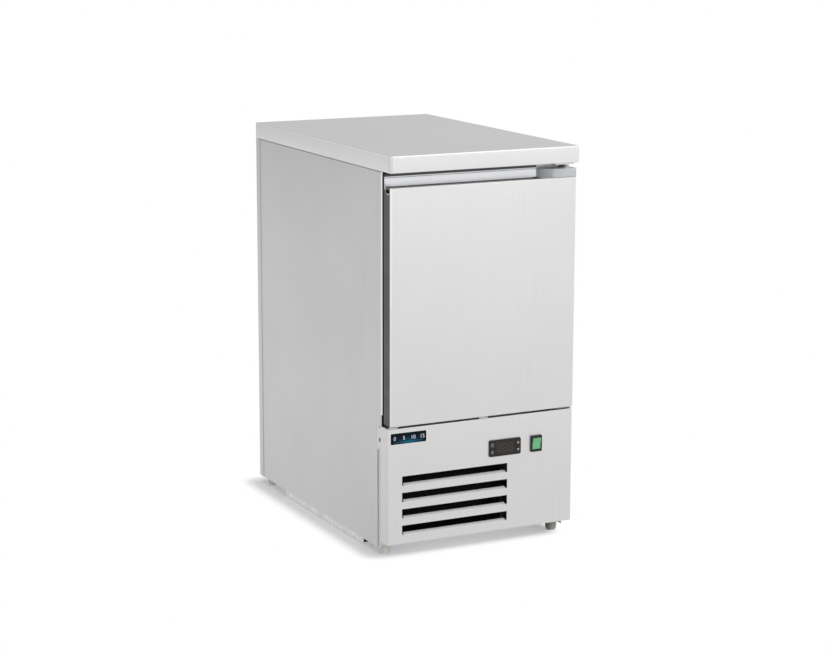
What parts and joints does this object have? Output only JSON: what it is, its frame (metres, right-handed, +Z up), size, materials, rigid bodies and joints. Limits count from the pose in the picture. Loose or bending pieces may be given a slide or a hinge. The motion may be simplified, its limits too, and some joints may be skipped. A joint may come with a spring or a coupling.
{
  "type": "saladette prep counter",
  "caption": "Compact refrigerated prep counter: flat stainless worktop, insulated box with a side-hinged door, louvred machine compartment with thermostat and switch, adjustable feet.",
  "frame": {"origin": "on the floor under the middle of the counter's overall box, with the feet screwed in", "axes": "+Z up, the front with the door faces -Y, +X to the right of somebody who looks at the front"},
  "size_m": [0.4398, 0.7, 0.84],
  "materials": {
    "stainless_top": "brushed along the width",
    "stainless_body": "brushed upright",
    "stainless_front": "fine brushed, pale",
    "stainless_inner": "smooth satin",
    "galvanised_steel": "dull zinc",
    "core_board": "raw board",
    "insulation_foam": "foamed, matte",
    "hinge_steel": "satin",
    "shelf_wire": "bright plated wire",
    "screw_steel": "bright",
    "label_film": "printed film",
    "controller_plastic": "near black",
    "controller_lens": "smoked window",
    "key_plastic": "near black with pale marks",
    "switch_plastic": "black",
    "rocker_plastic": "translucent green",
    "machine_paint": "black gloss paint",
    "motor_paint": "black paint",
    "machine_rubber": "matte",
    "coil_aluminium": "bare fins",
    "coated_fins": "black coated",
    "fan_aluminium": "rolled sheet",
    "fan_plastic": "black",
    "copper": "copper tube",
    "tray_plastic": "black",
    "hose_plastic": "milky",
    "box_plastic": "pale grey",
    "probe_metal": "satin",
    "door_edge_plastic": "warm dark grey",
    "gasket_rubber": "black, matte",
    "grip_aluminium": "polished, faintly blue",
    "grip_end_plastic": "pale grey",
    "bush_plastic": "white",
    "foot_plastic": "warm grey"
  },
  "bodies": {
    "cabinet": {"worktop": "stainless_top", "side_panel_left": "stainless_body", "side_panel_right": "stainless_body", "back_panel": "stainless_body", "rear_grille": "stainless_body", "front_panel": "stainless_front", "front_frame": "stainless_inner", "inner_liner": "stainless_inner", "base_pan": "galvanised_steel", "base_rails": "galvanised_steel", "floor_plate": "galvanised_steel", "worktop_core": "core_board", "cabinet_foam": "insulation_foam", "hinge_plate_top": "hinge_steel", "hinge_bracket_bottom": "hinge_steel", "shelf_racks": "hinge_steel", "wire_shelf": "shelf_wire", "hinge_screws": "screw_steel", "front_panel_screws": "screw_steel", "temperature_label": "label_film", "thermostat_housing": "controller_plastic", "compressor_relay_box": "controller_plastic", "cable_gland": "controller_plastic", "thermostat_display": "controller_lens", "switch_housing": "switch_plastic", "compressor": "machine_paint", "condenser_shroud": "machine_paint", "condenser_fan_motor": "motor_paint", "evaporator_fan_motor": "motor_paint", "compressor_grommets": "machine_rubber", "evaporator_coil": "coil_aluminium", "condenser_coil": "coated_fins", "filter_drier": "copper", "pressure_pipes": "copper", "suction_and_capillary": "copper", "evaporating_tray": "tray_plastic", "drain_hose": "hose_plastic", "terminal_box": "box_plastic", "evaporator_cover": "box_plastic", "evaporator_drip_tray": "box_plastic", "temperature_probe": "probe_metal"},
    "door": {"door_skin": "stainless_front", "door_edge_frame": "door_edge_plastic", "door_foam": "insulation_foam", "door_inner_panel": "stainless_inner", "door_gasket": "gasket_rubber", "grip_channel": "grip_aluminium", "grip_end_block": "grip_end_plastic", "hinge_bushes": "bush_plastic"},
    "power_rocker": {"switch_rocker": "rocker_plastic"},
    "set_key": {"key_set": "key_plastic"},
    "defrost_key": {"key_defrost": "key_plastic"},
    "up_key": {"key_up": "key_plastic"},
    "down_key": {"key_down": "key_plastic"},
    "condenser_fan": {"condenser_fan_blade": "fan_aluminium"},
    "evaporator_fan": {"evaporator_fan_blade": "fan_plastic"},
    "front_left_foot": {"foot_front_left": "foot_plastic"},
    "front_right_foot": {"foot_front_right": "foot_plastic"},
    "rear_left_foot": {"foot_rear_left": "foot_plastic"},
    "rear_right_foot": {"foot_rear_right": "foot_plastic"}
  },
  "joints": [
    {"name": "door_hinge", "type": "hinge", "parent": "cabinet", "child": "door", "pos_m": [0.1985, -0.328, 0.28], "axis": [0, 0, 1], "range_deg": [0, 110]},
    {"name": "rocker_tip", "type": "hinge", "parent": "cabinet", "child": "power_rocker", "pos_m": [0.1293, -0.336, 0.212], "axis": [-1, 0, 0], "range_deg": [0, 20]},
    {"name": "set_press", "type": "slide", "parent": "cabinet", "child": "set_key", "axis": [0, 1, 0], "range_m": [0, 0.0005], "stiffness_N_per_m": 1500, "springref_m": -0.0003},
    {"name": "defrost_press", "type": "slide", "parent": "cabinet", "child": "defrost_key", "axis": [0, 1, 0], "range_m": [0, 0.0005], "stiffness_N_per_m": 1500, "springref_m": -0.0003},
    {"name": "up_press", "type": "slide", "parent": "cabinet", "child": "up_key", "axis": [0, 1, 0], "range_m": [0, 0.0005], "stiffness_N_per_m": 1500, "springref_m": -0.0003},
    {"name": "down_press", "type": "slide", "parent": "cabinet", "child": "down_key", "axis": [0, 1, 0], "range_m": [0, 0.0005], "stiffness_N_per_m": 1500, "springref_m": -0.0003},
    {"name": "condenser_fan_spin", "type": "hinge", "parent": "cabinet", "child": "condenser_fan", "pos_m": [-0.05, -0.2312, 0.1275], "axis": [0, 1, 0], "continuous": true},
    {"name": "evaporator_fan_spin", "type": "hinge", "parent": "cabinet", "child": "evaporator_fan", "pos_m": [0, 0.204, 0.685], "axis": [0, 1, 0], "continuous": true},
    {"name": "front_left_foot_level", "type": "slide", "parent": "cabinet", "child": "front_left_foot", "axis": [0, 0, -1], "range_m": [0, 0.025]},
    {"name": "front_right_foot_level", "type": "slide", "parent": "cabinet", "child": "front_right_foot", "axis": [0, 0, -1], "range_m": [0, 0.025]},
    {"name": "rear_left_foot_level", "type": "slide", "parent": "cabinet", "child": "rear_left_foot", "axis": [0, 0, -1], "range_m": [0, 0.025]},
    {"name": "rear_right_foot_level", "type": "slide", "parent": "cabinet", "child": "rear_right_foot", "axis": [0, 0, -1], "range_m": [0, 0.025]}
  ]
}
